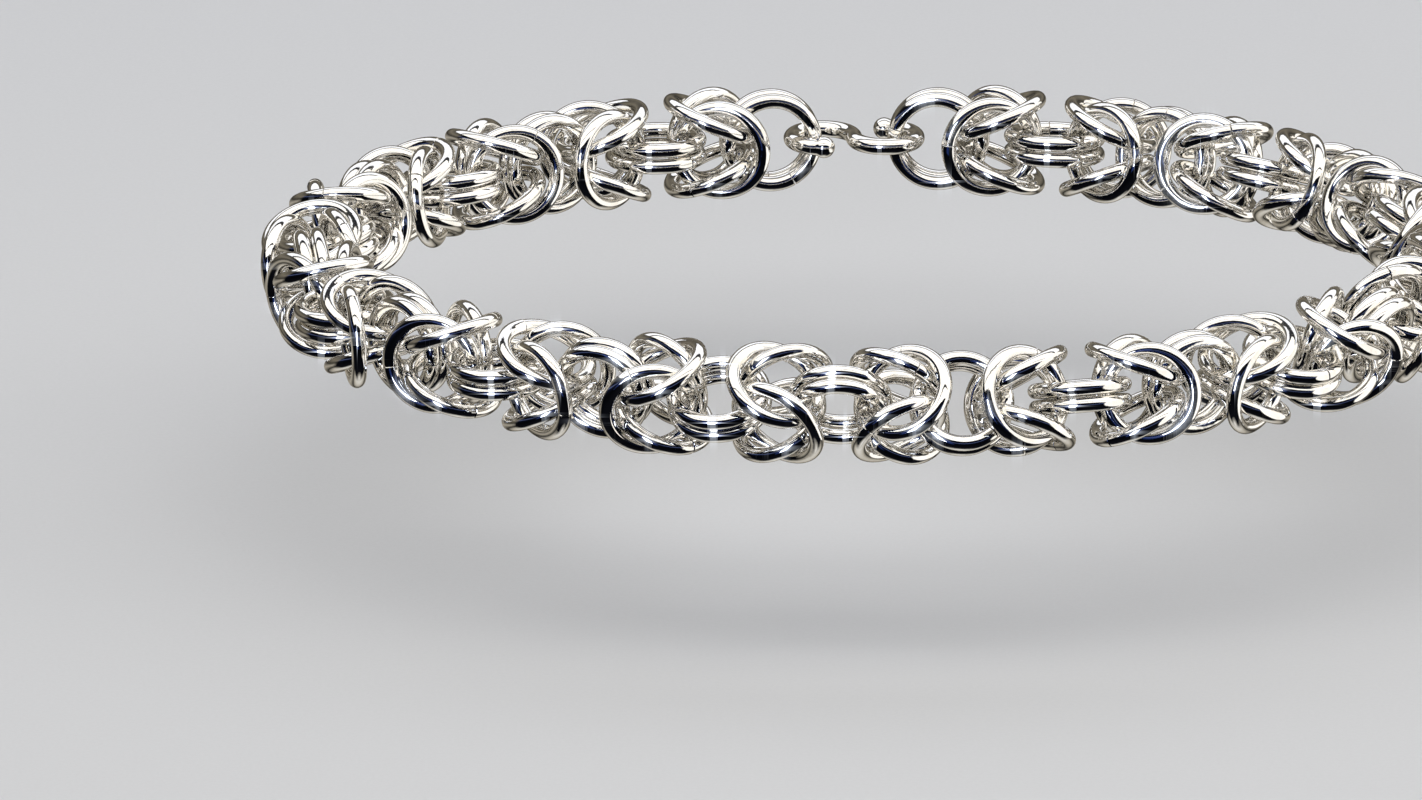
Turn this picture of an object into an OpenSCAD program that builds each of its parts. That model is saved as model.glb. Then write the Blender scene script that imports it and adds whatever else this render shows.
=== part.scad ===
// Byzantine chain of round jump rings, closed round the neck with a plain S-hook.
// The loop is an oval that lies level. The origin is the centre of the neck, on the plane of
// the loop. +Z is up, and -Y is the front of the neck.
//
// The weave is a row of knots with connectors between them. A connector is a pair of parallel
// rings. A knot is two pairs of rings, linked with each other at right angles. Its left pair
// lies close together where it hooks the connector to its left, and spreads apart to the
// right. Its right pair does the same the other way round. Each knot is rolled a quarter turn
// from the one before it.

/* [Rings] */
// Diameter of the ring wire
wire_d = 1.8; // [1.5:0.05:1.9]
// Inside diameter of a jump ring
ring_id = 8.5; // [8.2:0.05:9.4]
// Play left between the wires of any two rings
ring_play = 0.13; // [0.12:0.01:0.2]

/* [Weave] */
// Number of knots from one end of the hook to the other
knot_count = 25; // [24:1:34]
// Angle by which each ring of a knot leans away from the line of the chain
splay = 24; // [20:1:25]

/* [Loop] */
// Depth of the loop from front to back, as a share of its width
loop_depth = 0.79; // [0.76:0.01:1]
// Length along the loop from the front of the neck to the middle of the chain, towards +X
chain_shift = 2.4; // [0:0.1:6]

/* [Hook] */
// Diameter of the hook wire
hook_wire_d = 2; // [1.6:0.05:2.2]
// Inside diameter of each of the hook's two bends
hook_bend_id = 5.4; // [5:0.1:6.4]
// Angle that each bend turns through
hook_bend_angle = 270; // [240:5:285]
// Diameter of the ball at each end of the hook
hook_ball_d = 2.6; // [2.4:0.05:3]
// Play between the hook and the rings that hang on it
hook_play = 0.3; // [0.25:0.05:0.5]

/* [Hidden] */

// Roll of the weave about its own line. Columns: place along the chain, from -1 at its left
// end over 0 at its middle to 1 at its right end, and the roll there in degrees.
ROLL_TABLE = [
    [-1.00, 90],
    [-0.64, 104],
    [-0.32, 90],
    [-0.16, 107],
    [0.00, 135],
    [0.24, 190],
    [0.40, 212],
    [0.60, 216],
    [1.00, 180],
];
// Roll from one knot to the next that makes the weave
QUARTER = 90;

// Points taken round a ring to measure it against another
SAMPLES = 120;
// Angle between the points that measure the oval
OVAL_STEP = 1;
// Length to which a spacing is worked out
FINENESS = 0.001;
// Facet count of the round shapes
$fn = 48;

UP = [0, 0, 1];
SIDES = [-1, 1];

ring_r = (ring_id + wire_d) / 2;
touch = wire_d + ring_play;
pair_offset = touch / 2;
lean_offset = pair_offset + ring_r * sin(splay);

// A ring is [centre, normal].
CENTRE = 0;
NORMAL = 1;

function ring_across(ring) =
    let (helper = abs(ring[NORMAL][2]) < 0.9 ? UP : [1, 0, 0])
    let (across = cross(ring[NORMAL], helper))
    across / norm(across);

function ring_point(ring, angle) =
    let (u = ring_across(ring))
    let (v = cross(ring[NORMAL], u))
    ring[CENTRE] + ring_r * (cos(angle) * u + sin(angle) * v);

function point_to_ring(point, ring) =
    let (offset = point - ring[CENTRE])
    let (height = offset * ring[NORMAL])
    let (radius = norm(offset - height * ring[NORMAL]))
    norm([radius - ring_r, height]);

// Least distance between the centre lines of two rings
function ring_distance(a, b) =
    min([for (i = [1:SAMPLES]) point_to_ring(ring_point(a, i * 360 / SAMPLES), b)]);

// A place on the line of the chain is [point, direction in which the line runs on].
POINT = 0;
AHEAD = 1;

// One ring of a pair, to one side of the line and leaning by lean from the line's direction
function pair_ring(place, roll, side, offset, lean) =
    let (inward = cross(UP, place[AHEAD]))
    let (aside = cos(roll) * inward + sin(roll) * UP)
    [
        place[POINT] + side * offset * aside,
        cos(lean) * aside - side * sin(lean) * place[AHEAD],
    ];
function left_ring(place, roll, side) = pair_ring(place, roll, side, lean_offset, splay);
function right_ring(place, roll, side) =
    pair_ring(place, roll + QUARTER, side, lean_offset, -splay);
function connector_ring(place, roll, side) =
    pair_ring(place, roll + QUARTER, side, pair_offset, 0);

// The length from which, or up to which, a test holds, found by halving the range from low to high
function least(low, high, test) =
    let (middle = (low + high) / 2)
    high - low < FINENESS ? high : test(middle) ? least(low, middle, test) : least(middle, high, test);
function most(low, high, test) =
    let (middle = (low + high) / 2)
    high - low < FINENESS ? low : test(middle) ? most(middle, high, test) : most(low, middle, test);

// Half the length along the chain from a knot's right pair to its left pair: the two pairs are
// pulled against each other until only their play is left.
knot_half = least(0, ring_r / 2, function (half)
    min([for (side = SIDES)
        ring_distance(
            left_ring([[half, 0, 0], [1, 0, 0]], 0, 1),
            right_ring([[-half, 0, 0], [1, 0, 0]], 0, side))
    ]) >= touch);

// Hook: the end connectors lie as far out in its bends as their two wires fit.
bend_r = (hook_bend_id + hook_wire_d) / 2;
hook_touch = (hook_wire_d + wire_d) / 2 + hook_play;
seat_depth = sqrt(pow(bend_r - hook_touch, 2) - pow(pair_offset, 2));
hook_reach = bend_r + seat_depth + ring_r;

// Roll spread over the whole chain that brings its last connector upright, as the hook, which
// lies level, holds it
last_roll = ROLL_TABLE[len(ROLL_TABLE) - 1][1] + QUARTER * (knot_count + 1);
closing_roll = 180 * round(last_roll / 180) - last_roll;

// Roll at a number of knots along the chain from its left end
function roll_at(count) =
    lookup(2 * count / knot_count - 1, ROLL_TABLE) + QUARTER * floor(count)
    + closing_roll * count / knot_count;

// Oval of half width 1. Columns: length from its front to a point, and that point's angle.
function oval_point(angle) = [sin(angle), -loop_depth * cos(angle), 0];
OVAL_TABLE = [
    for (angle = 0, length = 0; angle <= 180;
        length = length + norm(oval_point(angle + OVAL_STEP) - oval_point(angle)),
        angle = angle + OVAL_STEP)
    [length, angle]
];
half_oval = OVAL_TABLE[len(OVAL_TABLE) - 1][0];

function half_width_on(pitch) = (knot_count * pitch / 2 + hook_reach) / half_oval;

// Place at a length along the chain from its middle, with the knots a pitch apart
function loop_place(along, pitch) =
    let (half_width = half_width_on(pitch))
    let (from_front = (along + chain_shift) / half_width)
    let (angle = sign(from_front) * lookup(abs(from_front), OVAL_TABLE))
    let (ahead = [cos(angle), loop_depth * sin(angle), 0])
    [half_width * oval_point(angle), ahead / norm(ahead)];

// Rings of the chain, by the count of the knot or connector from the chain's left end
function knot_along(k, pitch) = (k + 0.5 - knot_count / 2) * pitch;
function knot_left(k, side, pitch) =
    left_ring(loop_place(knot_along(k, pitch) + knot_half, pitch), roll_at(k + 0.5), side);
function knot_right(k, side, pitch) =
    right_ring(loop_place(knot_along(k, pitch) - knot_half, pitch), roll_at(k + 0.5), side);
function connector(k, side, pitch) =
    connector_ring(loop_place((k - knot_count / 2) * pitch, pitch), roll_at(k), side);

// Least distance from a connector's rings to the pairs that hook it
function connector_distance(k, pitch) =
    min([for (a = SIDES) for (b = SIDES) for (knot = [max(k - 1, 0):min(k, knot_count - 1)])
        ring_distance(
            connector(k, a, pitch),
            knot == k ? knot_left(knot, b, pitch) : knot_right(knot, b, pitch))
    ]);

// The knots are as far apart as the connectors, pulled tight all round the loop, let them be.
pitch = most(2 * ring_r, 3 * ring_r, function (pitch)
    min([for (k = [0:knot_count]) connector_distance(k, pitch)]) >= touch);

module jump_ring(ring) {
    normal = ring[NORMAL];
    translate(ring[CENTRE])
        rotate([0, acos(normal[2]), atan2(normal[1], normal[0])])
            rotate_extrude()
                translate([ring_r, 0])
                    circle(d = wire_d);
}

module byzantine_chain() {
    color("silver")
        for (side = SIDES) {
            for (k = [0:knot_count - 1]) {
                jump_ring(knot_left(k, side, pitch));
                jump_ring(knot_right(k, side, pitch));
            }
            for (k = [0:knot_count])
                jump_ring(connector(k, side, pitch));
        }
}

// One bend of the hook, from the hook's middle up and round to its ball
module hook_bend() {
    translate([-bend_r, 0, 0]) {
        rotate_extrude(angle = hook_bend_angle)
            translate([bend_r, 0])
                circle(d = hook_wire_d);
        rotate([0, 0, hook_bend_angle])
            translate([bend_r, 0, 0])
                sphere(d = hook_ball_d);
    }
}

module hook_clasp() {
    // Middle of the wire of each end connector, where it lies in the hook
    seats = [for (side = SIDES)
        let (end = loop_place(side * knot_count * pitch / 2, pitch))
        end[POINT] + side * ring_r * end[AHEAD]
    ];
    across = seats[1] - seats[0];
    color("silver")
        translate((seats[0] + seats[1]) / 2)
            rotate([0, 0, atan2(across[1], across[0])])
                for (half_turn = [0, 180])
                    rotate([0, 0, half_turn])
                        hook_bend();
}

byzantine_chain();
hook_clasp();
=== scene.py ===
"""Looks of the Byzantine neck chain.

They are its silver jump rings with their closures, the hook that closes it, and a studio.
"""

import math
import random

import bpy
import numpy as np
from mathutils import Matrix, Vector


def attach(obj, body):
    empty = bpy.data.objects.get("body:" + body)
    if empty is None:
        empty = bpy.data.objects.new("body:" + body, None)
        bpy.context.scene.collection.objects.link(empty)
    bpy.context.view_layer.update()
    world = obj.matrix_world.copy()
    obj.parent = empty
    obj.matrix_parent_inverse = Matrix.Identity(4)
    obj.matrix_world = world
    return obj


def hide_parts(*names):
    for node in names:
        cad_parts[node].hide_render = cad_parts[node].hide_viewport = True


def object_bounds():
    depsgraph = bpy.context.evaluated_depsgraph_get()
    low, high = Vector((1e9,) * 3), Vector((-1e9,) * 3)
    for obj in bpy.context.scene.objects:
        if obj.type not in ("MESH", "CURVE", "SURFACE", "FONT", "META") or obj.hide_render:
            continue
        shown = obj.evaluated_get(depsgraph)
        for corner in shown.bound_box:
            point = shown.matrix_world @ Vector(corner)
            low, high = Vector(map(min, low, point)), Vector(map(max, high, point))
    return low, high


bl_info = {
    "name": "Byzantine neck chain",
    "version": (1, 0, 0),
    "blender": (4, 5, 0),
    "location": "3D View > Sidebar > Neck chain",
    "description": "Adds the silver rings and hook of a Byzantine neck chain, with a plain studio",
    "category": "Object",
}

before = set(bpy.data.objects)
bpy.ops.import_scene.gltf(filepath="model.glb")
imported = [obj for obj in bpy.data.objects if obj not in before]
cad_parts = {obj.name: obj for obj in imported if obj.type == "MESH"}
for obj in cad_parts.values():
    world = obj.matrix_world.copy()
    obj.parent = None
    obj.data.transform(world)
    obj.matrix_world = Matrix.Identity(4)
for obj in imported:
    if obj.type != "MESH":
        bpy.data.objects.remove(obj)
CAD_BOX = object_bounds()

CHAIN = "byzantine_chain"
HOOK = "hook_clasp"
MM = 0.001
UP = np.array([0, 0, 1])
PHOTO_WIDTH_PX = 1422
PHOTO_HEIGHT_PX = 800
SENSOR_WIDTH_MM = 36

# Most wire radii from the middle of one ring of a connector to the middle of the other
CONNECTOR_SPACING = 3
# Decimals of a metre to which two points of a mesh have to agree to count as one
POINT_DIGITS = 8
# Angle above which an edge between two faces is shaded sharp
SHARP_EDGE = math.radians(40)
# Turn over which a ring's wire eases out to its end
END_EASE = math.pi / 4
# Least and most that a ring's closure is open, as a share of the closure gap
GAP_SHARES = (0.6, 1.3)
# How far a ring's two ends stand apart in height, as a share of how far they do sideways
RISE_SHARE = 0.5
# Number of rings for which one seed has draws of their own
RINGS_PER_SEED = 1000
# Values of the noise from which a cloudy patch starts to show and at which it is full
PATCH_EDGES = (0.42, 0.72)

# What the silver mirrors besides the softboxes. Columns: how steeply a direction runs, from -1
# for straight down over 0 for level to 1 for straight up, and the colour and brightness there.
BEFORE_THE_CHAIN = [
    (-1.00, "#F2F0EC", 0.80),
    (-0.98, "#B3B0AA", 0.60),
    (-0.93, "#0D0E13", 1.00),
    (-0.30, "#040508", 1.00),
    (-0.05, "#070911", 1.00),
    (0.14, "#10162C", 1.00),
    (0.20, "#5C6994", 1.00),
    (0.26, "#13182A", 1.00),
    (0.42, "#05060A", 1.00),
    (0.90, "#2A2B30", 1.00),
]
BEHIND_THE_CHAIN = [
    (-1.00, "#F2F0EC", 0.80),
    (-0.80, "#CEC8BC", 0.75),
    (-0.62, "#22211F", 1.00),
    (-0.35, "#C0B9AB", 0.70),
    (-0.10, "#34322E", 1.00),
    (0.20, "#8A8375", 0.70),
    (0.50, "#464440", 1.00),
    (0.90, "#2A2B30", 1.00),
]
# How far a direction runs back, as a share of it, where the studio is all as behind the chain
BEHIND_FROM = 0.25
# Softboxes. Columns: name, width and depth, place, place that it is turned to, brightness, colour.
SOFTBOXES = [
    ("softbox over the front", (1.7, 0.30), (0.15, -0.45, 0.5), (0.15, -0.45, 0), 1.30, "#FFFDFA"),
    ("softbox overhead", (1.7, 0.46), (0.15, -0.03, 0.5), (0.15, -0.03, 0), 1.30, "#FFFDFA"),
    ("softbox over the back", (1.7, 0.55), (0.15, 0.58, 0.5), (0.15, 0.58, 0), 1.20, "#F4F7FF"),
    ("window", (0.38, 0.80), (-0.45, -1.4, 0.20), (0, 0, 0), 5.00, "#E4EEFF"),
    ("sky in the window", (0.90, 1.20), (-0.46, -1.43, 0.20), (0, 0, 0), 0.18, "#4A68C8"),
]
# Rays of the glints: upright and level, and short
RAYS = {"Strength": 0.75, "Iterations": 4, "Fade": 0.9, "Diagonal": False}


def linear(hex_colour):
    """An sRGB hex colour as linear red, green and blue."""
    channels = [int(hex_colour[i:i + 2], 16) / 255 for i in (1, 3, 5)]
    return [c / 12.92 if c <= 0.04045 else ((c + 0.055) / 1.055) ** 2.4 for c in channels]


# Places read from the frame

def mesh_points(mesh):
    points = np.empty(len(mesh.vertices) * 3)
    mesh.vertices.foreach_get("co", points)
    return points.reshape(-1, 3)


def loose_parts(mesh):
    """The points of each loose solid of a mesh of triangles."""
    points = mesh_points(mesh)
    corners = np.empty(len(mesh.loops), dtype=int)
    mesh.loops.foreach_get("vertex_index", corners)
    _, same = np.unique(np.round(points, POINT_DIGITS), axis=0, return_inverse=True)
    same = same.reshape(-1)
    triangles = same[corners.reshape(-1, 3)]
    # Each point takes the lowest label next to it, until nothing changes.
    label = np.arange(same.max() + 1)
    while True:
        lowest = label[triangles].min(axis=1)
        before = label.copy()
        for corner in range(3):
            np.minimum.at(label, triangles[:, corner], lowest)
        label = label[label]
        if (label == before).all():
            break
    of_point = label[same]
    return [points[of_point == part] for part in np.unique(of_point)]


def read_rings():
    """Each ring of the chain: its centre, normal, radius to the wire's middle, and wire radius."""
    rings = []
    for points in loose_parts(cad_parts[CHAIN].data):
        centre = (points.max(axis=0) + points.min(axis=0)) / 2
        _, _, axes = np.linalg.svd(points - centre, full_matrices=False)
        normal = axes[2]
        height = (points - centre) @ normal
        across = np.linalg.norm(points - centre - np.outer(height, normal), axis=1)
        rings.append({
            "centre": centre,
            "normal": normal,
            "radius": (across.max() + across.min()) / 2,
            "wire": (across.max() - across.min()) / 2,
        })
    return rings


def split_rings(rings):
    """The connectors' rings, which lie close side by side, and the knots' rings, which do not."""
    centres = np.array([ring["centre"] for ring in rings])
    apart = np.linalg.norm(centres[:, None] - centres[None], axis=2)
    np.fill_diagonal(apart, np.inf)
    close = apart.min(axis=1) < CONNECTOR_SPACING * np.array([ring["wire"] for ring in rings])
    return (
        [ring for ring, is_close in zip(rings, close) if is_close],
        [ring for ring, is_close in zip(rings, close) if not is_close])


def round_the_neck(ring):
    """The angle of a ring round the neck, from the front towards +X."""
    return math.atan2(ring["centre"][0], -ring["centre"][1])


CONNECTORS, KNOTS = split_rings(sorted(read_rings(), key=round_the_neck))


# Sizes and colours

class RingSettings(bpy.types.PropertyGroup):
    """How finely the rings are made and how each is closed."""
    steps_along: bpy.props.IntProperty(
        name="Steps along", description="Rows of points along the wire between a ring's two ends",
        default=72, min=24, max=96)
    steps_around: bpy.props.IntProperty(
        name="Steps around", description="Faces around the wire", default=20, min=8, max=24)
    closure_gap: bpy.props.FloatProperty(
        name="Closure gap", description="Width of the fine gap where a ring is closed",
        default=0.07 * MM, unit="LENGTH", precision=5)
    closure_step: bpy.props.FloatProperty(
        name="Closure step", description="Most that the two ends of a ring stand apart sideways",
        default=0.06 * MM, unit="LENGTH", precision=5)
    edge_round: bpy.props.FloatProperty(
        name="Edge round", description="Width of the worn edge round a cut end",
        default=0.05 * MM, unit="LENGTH", precision=5)
    out_of_round: bpy.props.FloatProperty(
        name="Out of round", description="Most that a bent ring is longer one way than the other",
        default=0.04 * MM, unit="LENGTH", precision=5)
    seed: bpy.props.IntProperty(name="Seed", description="Start of the random draws", default=7)


class HookSettings(bpy.types.PropertyGroup):
    """The S-hook at the back."""
    bend_angle: bpy.props.FloatProperty(
        name="Bend angle", description="Angle that each bend turns through",
        default=math.radians(270), unit="ROTATION")
    steps_along: bpy.props.IntProperty(
        name="Steps along", description="Rows of points along one bend",
        default=90, min=24, max=160)
    steps_around: bpy.props.IntProperty(
        name="Steps around", description="Faces around the wire", default=28, min=12, max=48)
    steps_on_ball: bpy.props.IntProperty(
        name="Steps on ball", description="Faces from the middle of a ball to its tip",
        default=8, min=4, max=16)


class SilverSettings(bpy.types.PropertyGroup):
    """The polished silver."""
    colour: bpy.props.FloatVectorProperty(
        name="Silver", description="Colour of clean polished silver",
        default=linear("#FCFAF6"), subtype="COLOR", size=3, min=0, max=1)
    shade: bpy.props.FloatVectorProperty(
        name="Shade", description="Warmer colour of silver that the polish reached less",
        default=linear("#EEEAE1"), subtype="COLOR", size=3, min=0, max=1)
    roughness: bpy.props.FloatProperty(
        name="Roughness", description="Roughness of the brightest polish",
        default=0.045, min=0, max=1)
    dulling: bpy.props.FloatProperty(
        name="Dulling", description="Times that the dullest polish is rougher than the brightest",
        default=2.2, min=1)
    patch_size: bpy.props.FloatProperty(
        name="Patch size", description="Size of the cloudy patches in the polish",
        default=3 * MM, unit="LENGTH", precision=4)
    line_spacing: bpy.props.FloatProperty(
        name="Line spacing", description="Distance around the wire from one die line to the next",
        default=0.15 * MM, unit="LENGTH", precision=5)
    line_length: bpy.props.FloatProperty(
        name="Line length", description="Length of a die line along the wire",
        default=6 * MM, unit="LENGTH", precision=4)
    line_depth: bpy.props.FloatProperty(
        name="Line depth", description="Depth that the polish has left of the die lines",
        default=0.0004 * MM, unit="LENGTH", precision=6)
    dimple_size: bpy.props.FloatProperty(
        name="Dimple size", description="Size of the dimples that the tumbling shot leaves",
        default=0.8 * MM, unit="LENGTH", precision=4)
    dimple_depth: bpy.props.FloatProperty(
        name="Dimple depth", description="Depth of the dimples that the tumbling shot leaves",
        default=0.012 * MM, unit="LENGTH", precision=6)


class StageSettings(bpy.types.PropertyGroup):
    """The floor, lights and camera."""
    floor: bpy.props.FloatVectorProperty(
        name="Floor", description="Colour of the pale floor",
        default=linear("#DCDDDE"), subtype="COLOR", size=3, min=0, max=1)
    floor_roughness: bpy.props.FloatProperty(
        name="Floor roughness", description="Roughness of the paper of the floor",
        default=0.9, min=0, max=1)
    floor_drop: bpy.props.FloatProperty(
        name="Floor drop",
        description="Height from the floor to the lowest ring of the held up chain",
        default=20 * MM, unit="LENGTH", precision=4)
    floor_width: bpy.props.FloatProperty(
        name="Floor width", description="Width of the floor", default=6, unit="LENGTH")
    fibre_length: bpy.props.FloatProperty(
        name="Fibre length", description="Length of the fibres in the paper of the floor",
        default=0.5 * MM, unit="LENGTH", precision=4)
    fibre_contrast: bpy.props.FloatProperty(
        name="Fibre contrast", description="Share by which the fibres are paler or darker",
        default=0.03, min=0, max=1)
    side_light: bpy.props.FloatVectorProperty(
        name="Side light", description="Direction from the chain to the light at its side",
        default=(0.95, 0, -0.05), size=3)
    side_light_width: bpy.props.FloatProperty(
        name="Side light width", description="Angle from the middle of the side light to its edge",
        default=math.radians(37.5), unit="ROTATION")
    side_light_blur: bpy.props.FloatProperty(
        name="Side light blur", description="Angle over which the side light fades in or out",
        default=math.radians(3), unit="ROTATION")
    side_light_colour: bpy.props.FloatVectorProperty(
        name="Side light colour", description="Colour and brightness of the light at the side",
        default=[1.15 * channel for channel in linear("#FFFCF8")], subtype="COLOR", size=3, min=0)
    sparkle: bpy.props.FloatProperty(
        name="Sparkle", description="Brightness from which a glint has rays", default=1.5)
    elevation: bpy.props.FloatProperty(
        name="Elevation", description="Angle of the camera above the chain",
        default=math.radians(17.8), unit="ROTATION")
    distance: bpy.props.FloatProperty(
        name="Distance", description="Distance from the camera to the chain",
        default=3.0, unit="LENGTH")
    width_px: bpy.props.FloatProperty(
        name="Width in the picture", description="Pixels that the width of the chain takes",
        default=1235)
    centre_px: bpy.props.FloatVectorProperty(
        name="Centre in the picture", description="Pixel at which the centre of the loop lies",
        default=(877, 269), size=2)


def settings(name):
    """A group of settings, as they stand in the scene."""
    return getattr(bpy.context.scene, name)


# Making meshes

def new_object(name, points, faces):
    mesh = bpy.data.meshes.new(name)
    mesh.from_pydata(points, [], faces)
    mesh.validate()
    mesh.shade_smooth()
    mesh.set_sharp_from_angle(angle=SHARP_EDGE)
    obj = bpy.data.objects.new(name, mesh)
    bpy.context.scene.collection.objects.link(obj)
    return obj


def wire_object(name, wires):
    """One piece of bent wires. It keeps where each point lay before the wire was bent."""
    points, straight, faces = [], [], []
    start = 0
    for wire in wires:
        points.append(wire["points"])
        straight.append(wire["straight"])
        faces += [tuple(start + corner for corner in face) for face in wire["faces"]]
        start += len(wire["points"])
    obj = new_object(name, np.concatenate(points), faces)
    layer = obj.data.attributes.new("straight_wire", "FLOAT_VECTOR", "POINT")
    layer.data.foreach_set("vector", np.concatenate(straight).astype(np.float32).ravel())
    return obj


def tube_faces(rows, around):
    """Faces of a tube of rows of points, with a fan to a tip at each end."""
    faces = []
    for row in range(rows - 1):
        for side in range(around):
            a = row * around + side
            b = row * around + (side + 1) % around
            faces.append((a, b, b + around, a + around))
    first_tip = rows * around
    last = (rows - 1) * around
    for side in range(around):
        following = (side + 1) % around
        faces.append((following, side, first_tip))
        faces.append((last + side, last + following, first_tip + 1))
    return faces


def bent_wire(middle, outward, upward, radii, along, tips, tips_along, steps_around):
    """A round wire along a row of middle points, each with its two directions across the wire,
    its radius and its length along the wire, and with a tip at each end."""
    turns = np.linspace(0, math.tau, steps_around, endpoint=False)
    out = np.outer(radii, np.cos(turns))
    up = np.outer(radii, np.sin(turns))
    points = middle[:, None] + out[..., None] * outward[:, None] + up[..., None] * upward
    straight = np.stack([np.broadcast_to(along[:, None], out.shape), out, up], axis=-1)
    return {
        "points": np.concatenate([points.reshape(-1, 3), tips]),
        "straight": np.concatenate(
            [straight.reshape(-1, 3), [[length, 0, 0] for length in tips_along]]),
        "faces": tube_faces(len(middle), steps_around),
    }


def smooth_step(share):
    share = np.clip(share, 0, 1)
    return share * share * (3 - 2 * share)


def jump_ring(ring, number, rules):
    """The wire of one jump ring, bent round and closed with a fine gap."""
    draw = random.Random(rules.seed * RINGS_PER_SEED + number)
    closure = draw.uniform(0, math.tau)
    long_way = draw.uniform(0, math.pi)
    out_of_round = draw.uniform(0, rules.out_of_round) / 2
    side_step = draw.uniform(-rules.closure_step, rules.closure_step) / 2
    rise_step = RISE_SHARE * draw.uniform(-rules.closure_step, rules.closure_step) / 2
    gap = rules.closure_gap * draw.uniform(*GAP_SHARES)

    half_gap = gap / 2 / ring["radius"]
    full = half_gap + rules.edge_round / ring["radius"]
    bends = np.concatenate((
        [half_gap], np.linspace(full, math.tau - full, rules.steps_along), [math.tau - half_gap]))
    # The wire is thinner at its two cut ends, where their edges are worn.
    radii = np.full(len(bends), ring["wire"])
    radii[[0, -1]] -= rules.edge_round
    # The ends stand a little apart, and the wire eases into that.
    from_end = smooth_step(1 - bends / END_EASE) - smooth_step(1 - (math.tau - bends) / END_EASE)

    first_way = np.array(Vector(ring["normal"]).orthogonal().normalized())
    second_way = np.cross(ring["normal"], first_way)
    angles = bends + closure
    outward = np.outer(np.cos(angles), first_way) + np.outer(np.sin(angles), second_way)
    radius = ring["radius"] + out_of_round * np.cos(2 * (angles - long_way)) + rise_step * from_end
    aside = np.outer(side_step * from_end, ring["normal"])
    middle = ring["centre"] + radius[:, None] * outward + aside
    along = (bends + number * math.tau) * ring["radius"]
    ends = [0, -1]
    return bent_wire(
        middle, outward, ring["normal"], radii, along, middle[ends], along[ends],
        rules.steps_around)


def rings_object(name, rings, first_number):
    """One piece of many jump rings."""
    rules = settings("chain_rings")
    return wire_object(name, [
        jump_ring(ring, number, rules) for number, ring in enumerate(rings, first_number)])


# Materials

def add_node(tree, kind, inputs=None, **fields):
    """Adds a node. An input given as a socket is linked, and any other is set."""
    node = tree.nodes.new(kind)
    for name, value in fields.items():
        setattr(node, name, value)
    for name, value in (inputs or {}).items():
        if isinstance(value, bpy.types.NodeSocket):
            tree.links.new(value, node.inputs[name])
        else:
            node.inputs[name].default_value = value
    return node


def mix_colours(tree, share, first, second):
    """A blend of two colours, which a Mix node takes at its inputs 6 and 7."""
    mix = add_node(tree, "ShaderNodeMix", {"Factor": share, 6: first, 7: second}, data_type="RGBA")
    return mix.outputs[2]


def noise(tree, place, size, detail, roughness=0.5):
    """A noise whose patches are about a size."""
    node = add_node(
        tree, "ShaderNodeTexNoise",
        {"Vector": place, "Scale": 1 / size, "Detail": detail, "Roughness": roughness})
    return node.outputs["Fac"]


def new_material(name):
    material = bpy.data.materials.new(name)
    material.use_nodes = True
    material.node_tree.nodes.clear()
    return material, material.node_tree


def polished_silver():
    """Sterling silver wire, drawn and then tumble polished: bright as a mirror, with a warm white
    body, crisp dark reflections, and a polish that is a little cloudy in patches."""
    name = "sterling silver, tumble polished"
    if name in bpy.data.materials:
        return bpy.data.materials[name]
    look = settings("chain_silver")
    material, tree = new_material(name)
    place = add_node(tree, "ShaderNodeTexCoord").outputs["Object"]
    wire = add_node(tree, "ShaderNodeAttribute", attribute_name="straight_wire").outputs["Vector"]

    # Cloudy patches, where the polish is a little duller and warmer
    patches = add_node(
        tree, "ShaderNodeMapRange",
        {"Value": noise(tree, place, look.patch_size, detail=4, roughness=0.6),
         "From Min": PATCH_EDGES[0], "From Max": PATCH_EDGES[1]}).outputs["Result"]
    colour = mix_colours(tree, patches, (*look.colour, 1), (*look.shade, 1))
    rough = add_node(
        tree, "ShaderNodeMapRange",
        {"Value": patches, "To Min": look.roughness, "To Max": look.dulling * look.roughness})

    # Die lines of the drawn wire, close together around it and long along it
    drawn = add_node(
        tree, "ShaderNodeVectorMath",
        {0: wire, 1: (1 / look.line_length, 1 / look.line_spacing, 1 / look.line_spacing)},
        operation="MULTIPLY")
    lines = add_node(
        tree, "ShaderNodeBump",
        {"Strength": 1, "Distance": look.line_depth,
         "Height": noise(tree, drawn.outputs["Vector"], 1, detail=3)})
    dimples = add_node(
        tree, "ShaderNodeBump",
        {"Strength": 1, "Distance": look.dimple_depth,
         "Height": noise(tree, place, look.dimple_size, detail=2),
         "Normal": lines.outputs["Normal"]})
    shader = add_node(
        tree, "ShaderNodeBsdfPrincipled",
        {"Base Color": colour, "Metallic": 1, "Roughness": rough.outputs["Result"],
         "Normal": dimples.outputs["Normal"]})
    add_node(tree, "ShaderNodeOutputMaterial", {"Surface": shader.outputs["BSDF"]})
    return material


def matte_paper():
    """Matte background paper: pale, with a fine fibre grain and no gloss."""
    look = settings("chain_stage")
    material, tree = new_material("background paper, matte")
    place = add_node(tree, "ShaderNodeTexCoord").outputs["Object"]
    tone = add_node(
        tree, "ShaderNodeMapRange",
        {"Value": noise(tree, place, look.fibre_length, detail=3),
         "To Min": 1 - look.fibre_contrast, "To Max": 1 + look.fibre_contrast})
    colour = add_node(
        tree, "ShaderNodeVectorMath",
        {0: tuple(look.floor), "Scale": tone.outputs["Result"]}, operation="SCALE")
    shader = add_node(
        tree, "ShaderNodeBsdfPrincipled",
        {"Base Color": colour.outputs["Vector"], "Roughness": look.floor_roughness})
    add_node(tree, "ShaderNodeOutputMaterial", {"Surface": shader.outputs["BSDF"]})
    return material


def finish_piece(obj, slot, *nodes):
    """Gives a piece its silver and its body, and hides the CAD nodes that it stands for."""
    obj.data.materials.append(polished_silver())
    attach(obj, "root")
    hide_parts(*nodes)


# Pieces

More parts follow.
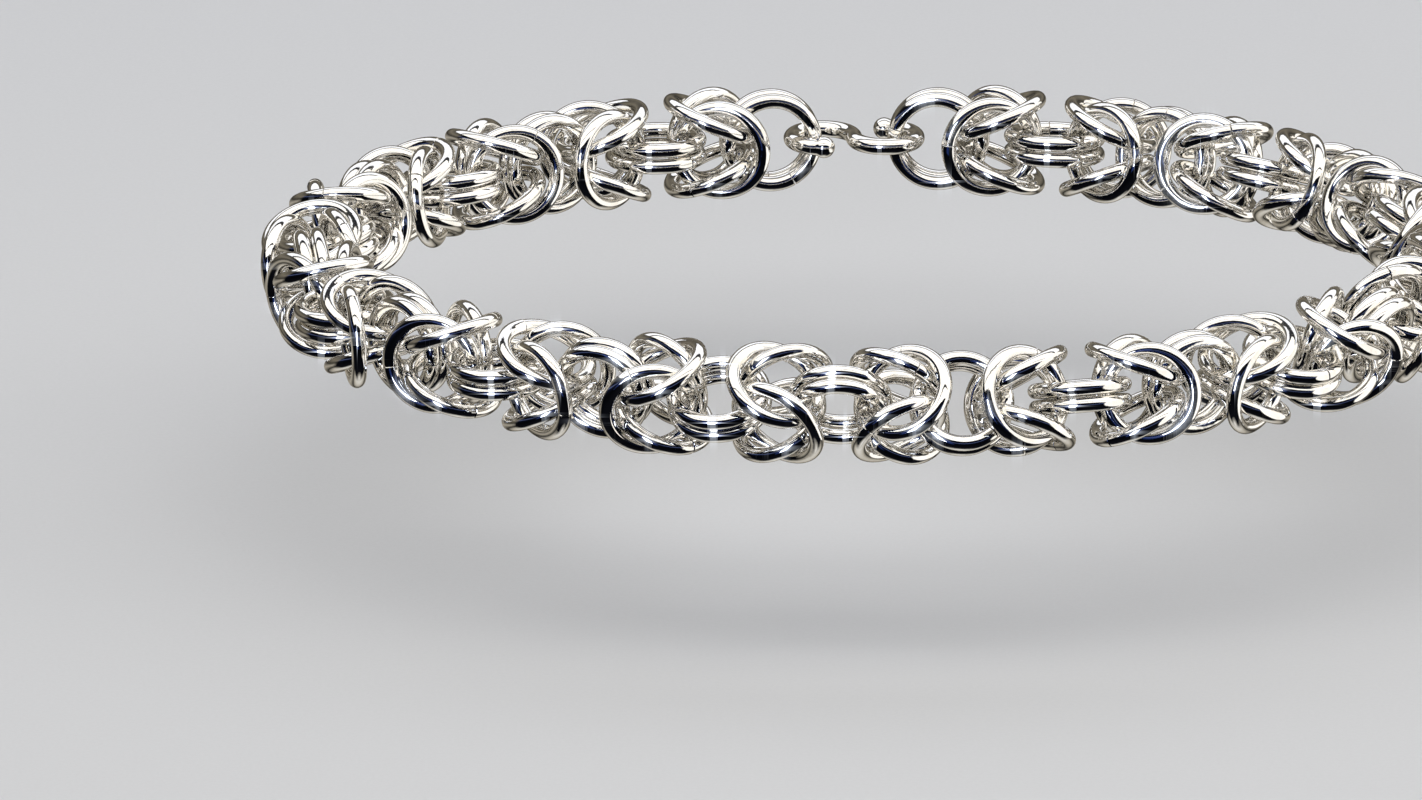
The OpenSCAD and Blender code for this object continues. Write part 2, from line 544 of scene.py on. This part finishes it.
class NECKCHAIN_OT_knot_rings(bpy.types.Operator):
    """Add the rings of the knots, as one piece left of the front and one right of it"""
    bl_idname = "neckchain.knot_rings"
    bl_label = "Knot rings"

    def execute(self, context):
        left = [ring for ring in KNOTS if ring["centre"][0] < 0]
        right = [ring for ring in KNOTS if ring["centre"][0] >= 0]
        finish_piece(rings_object("knot_rings_left", left, 0), "ring_silver", CHAIN)
        finish_piece(rings_object("knot_rings_right", right, len(left)), "ring_silver", CHAIN)
        return {"FINISHED"}


class NECKCHAIN_OT_connector_rings(bpy.types.Operator):
    """Add the pairs of rings that join the knots"""
    bl_idname = "neckchain.connector_rings"
    bl_label = "Connector rings"

    def execute(self, context):
        finish_piece(rings_object("connector_rings", CONNECTORS, len(KNOTS)), "ring_silver", CHAIN)
        return {"FINISHED"}


def hook_seats():
    """The two places where the wires of the end connectors lie in the hook."""
    seats = []
    for pair in (CONNECTORS[:2], CONNECTORS[-2:]):
        centre = (pair[0]["centre"] + pair[1]["centre"]) / 2
        inward = np.cross(pair[0]["normal"], UP)
        inward *= -math.copysign(1, inward[0] * centre[0]) / np.linalg.norm(inward)
        seats.append(centre + pair[0]["radius"] * inward)
    return seats


def hook_sizes():
    """The hook's centre and direction along the chain, and the radii of its wire, its balls and
    its bends, measured on its CAD node."""
    points = mesh_points(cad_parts[HOOK].data)
    centre = (points.min(axis=0) + points.max(axis=0)) / 2
    left, right = hook_seats()
    ahead = (right - left) * [1, 1, 0]
    ahead /= np.linalg.norm(ahead)
    ball_r = np.ptp(points[:, 2]) / 2
    bend_r = np.ptp(points @ np.cross(UP, ahead)) / 2 - ball_r
    wire_r = np.ptp(points @ ahead) / 2 - 2 * bend_r
    return centre, ahead, wire_r, ball_r, bend_r


def hook_wire(rules):
    """The wire of the hook: an S of two bends that lies level, with a ball at each end."""
    centre, ahead, wire_r, ball_r, bend_r = hook_sizes()
    aside = np.cross(UP, ahead)

    # Middle line from ball to ball, with the S's own middle at turn 0
    turns = np.linspace(-rules.bend_angle, rules.bend_angle, 2 * rules.steps_along - 1)
    bend = np.sign(turns)
    line = np.stack([bend * (1 - np.cos(turns)), -np.sin(turns)], axis=-1)
    heading = np.stack([bend * np.sin(turns), -np.cos(turns)], axis=-1) @ [ahead, aside]
    middle = centre + bend_r * line @ [ahead, aside]
    along = bend_r * (turns + rules.bend_angle)
    tips = [middle[0] - ball_r * heading[0], middle[-1] + ball_r * heading[-1]]
    tips_along = [-ball_r, along[-1] + ball_r]

    # Each ball has its middle at the end of its bend, and rows of points from there to its tip.
    ball_turns = np.linspace(0, math.pi / 2, rules.steps_on_ball + 1)[1:-1]
    past = ball_r * np.sin(ball_turns)
    beyond = np.concatenate([-past[::-1], np.zeros(len(middle)), past])
    at_ends = ((len(past), len(past)), (0, 0))
    heading = np.pad(heading, at_ends, mode="edge")
    middle = np.pad(middle, at_ends, mode="edge") + beyond[:, None] * heading
    from_ball = np.minimum(along, along[-1] - along)
    along = np.pad(along, len(past), mode="edge") + beyond
    radii = np.concatenate([
        ball_r * np.cos(ball_turns[::-1]),
        np.maximum(wire_r, np.sqrt(np.maximum(0, ball_r ** 2 - from_ball ** 2))),
        ball_r * np.cos(ball_turns)])
    return bent_wire(
        middle, np.cross(heading, UP), UP, radii, along, tips, tips_along, rules.steps_around)


class NECKCHAIN_OT_hook(bpy.types.Operator):
    """Add the S-hook, one wire with a ball melted at each end"""
    bl_idname = "neckchain.hook"
    bl_label = "Hook"

    def execute(self, context):
        wire = hook_wire(settings("chain_hook"))
        finish_piece(wire_object("s_hook", [wire]), "hook_silver", HOOK)
        return {"FINISHED"}


# Stage

def add_floor(look):
    z = CAD_BOX[0][2] - look.floor_drop
    half = look.floor_width / 2
    floor = new_object(
        "floor", [(-half, -half, z), (half, -half, z), (half, half, z), (-half, half, z)],
        [(0, 1, 2, 3)])
    floor.data.materials.append(matte_paper())
    # The silver mirrors the dark studio below it, as in the photo.
    floor.visible_glossy = False


def add_softbox(name, size, place, aim, strength, colour):
    """A plain soft light: a lit panel of a size, at a place, turned to a point."""
    light = bpy.data.lights.new(name, "AREA")
    light.shape = "RECTANGLE"
    light.size, light.size_y = size
    # The brightness of a panel is its power over pi times its area.
    light.energy = strength * math.pi * size[0] * size[1]
    light.color = linear(colour)
    obj = bpy.data.objects.new(name, light)
    obj.location = place
    obj.rotation_euler = (Vector(aim) - Vector(place)).to_track_quat("-Z", "Y").to_euler()
    obj.visible_camera = False
    bpy.context.scene.collection.objects.link(obj)


def colours_by_height(tree, steepness, stops):
    """Colours that change with how steeply a direction runs."""
    share = add_node(
        tree, "ShaderNodeMapRange", {"Value": steepness, "From Min": -1, "From Max": 1})
    node = add_node(tree, "ShaderNodeValToRGB", {"Fac": share.outputs["Result"]})
    # A new ramp has two stops, of which one stays as the first.
    elements = node.color_ramp.elements
    elements.remove(elements[1])
    for index, (height, colour, brightness) in enumerate(stops):
        position = (height + 1) / 2
        element = elements.new(position) if index else elements[0]
        element.position = position
        element.color = (*[brightness * channel for channel in linear(colour)], 1)
    return node.outputs["Color"]


def studio_world(look):
    """A dark studio, with a light at its side."""
    world = bpy.data.worlds.new("studio")
    world.use_nodes = True
    tree = world.node_tree
    direction = add_node(tree, "ShaderNodeTexCoord").outputs["Generated"]
    parts = add_node(tree, "ShaderNodeSeparateXYZ", {0: direction}).outputs
    before = colours_by_height(tree, parts["Z"], BEFORE_THE_CHAIN)
    behind = colours_by_height(tree, parts["Z"], BEHIND_THE_CHAIN)
    back_share = add_node(
        tree, "ShaderNodeMapRange", {"Value": parts["Y"], "From Max": BEHIND_FROM})
    studio = mix_colours(tree, back_share.outputs["Result"], before, behind)

    nearness = add_node(
        tree, "ShaderNodeVectorMath", {0: direction, 1: Vector(look.side_light).normalized()},
        operation="DOT_PRODUCT")
    half_blur = look.side_light_blur / 2
    side_share = add_node(
        tree, "ShaderNodeMapRange",
        {"Value": nearness.outputs["Value"],
         "From Min": math.cos(look.side_light_width + half_blur),
         "From Max": math.cos(look.side_light_width - half_blur)})
    studio = mix_colours(
        tree, side_share.outputs["Result"], studio, (*look.side_light_colour, 1))
    tree.links.new(studio, tree.nodes["Background"].inputs["Color"])
    return world


def add_sparkle(scene, threshold):
    """Short rays round the brightest glints, as in the photo."""
    scene.use_nodes = True
    tree = scene.node_tree
    tree.nodes.clear()
    picture = add_node(tree, "CompositorNodeRLayers").outputs["Image"]
    star = add_node(
        tree, "CompositorNodeGlare", {"Image": picture, "Threshold": threshold, **RAYS},
        glare_type="SIMPLE_STAR", quality="HIGH")
    add_node(tree, "CompositorNodeComposite", {"Image": star.outputs["Image"]})


def add_camera(scene, look):
    """A camera at the photo's viewing angle, which frames the chain as the photo does."""
    up = Vector((0, math.sin(look.elevation), math.cos(look.elevation)))
    back = Vector((0, -math.cos(look.elevation), math.sin(look.elevation)))
    metres_per_px = (CAD_BOX[1][0] - CAD_BOX[0][0]) / look.width_px
    target = Vector((PHOTO_WIDTH_PX / 2 - look.centre_px[0], 0, 0)) * metres_per_px
    target -= up * (PHOTO_HEIGHT_PX / 2 - look.centre_px[1]) * metres_per_px
    camera = bpy.data.cameras.new("camera")
    camera.sensor_width = SENSOR_WIDTH_MM
    camera.lens = SENSOR_WIDTH_MM * look.distance / (PHOTO_WIDTH_PX * metres_per_px)
    obj = bpy.data.objects.new("camera", camera)
    obj.location = target + back * look.distance
    obj.rotation_euler = (math.pi / 2 - look.elevation, 0, 0)
    scene.collection.objects.link(obj)
    scene.camera = obj


class NECKCHAIN_OT_stage(bpy.types.Operator):
    """Add the pale floor, the soft lights and the camera"""
    bl_idname = "neckchain.stage"
    bl_label = "Stage"

    def execute(self, context):
        look = settings("chain_stage")
        add_floor(look)
        for row in SOFTBOXES:
            add_softbox(*row)
        context.scene.world = studio_world(look)
        context.scene.view_settings.view_transform = "Standard"
        add_sparkle(context.scene, look.sparkle)
        add_camera(context.scene, look)
        return {"FINISHED"}


class NECKCHAIN_PT_panel(bpy.types.Panel):
    """Buttons that add each part of the neck chain"""
    bl_label = "Neck chain"
    bl_idname = "NECKCHAIN_PT_panel"
    bl_space_type = "VIEW_3D"
    bl_region_type = "UI"
    bl_category = "Neck chain"

    def draw(self, context):
        for operator in OPERATORS:
            self.layout.operator(operator.bl_idname)


SETTINGS = {
    "chain_rings": RingSettings,
    "chain_hook": HookSettings,
    "chain_silver": SilverSettings,
    "chain_stage": StageSettings,
}
OPERATORS = [
    NECKCHAIN_OT_knot_rings,
    NECKCHAIN_OT_connector_rings,
    NECKCHAIN_OT_hook,
    NECKCHAIN_OT_stage,
]
CLASSES = [*SETTINGS.values(), *OPERATORS, NECKCHAIN_PT_panel]


def register():
    for cls in CLASSES:
        bpy.utils.register_class(cls)
    for name, group in SETTINGS.items():
        setattr(bpy.types.Scene, name, bpy.props.PointerProperty(type=group))


def unregister():
    for name in SETTINGS:
        delattr(bpy.types.Scene, name)
    for cls in reversed(CLASSES):
        bpy.utils.unregister_class(cls)


def main():
    register()
    bpy.ops.neckchain.knot_rings()
    bpy.ops.neckchain.connector_rings()
    bpy.ops.neckchain.hook()
    bpy.ops.neckchain.stage()


if __name__ == "__main__":
    main()
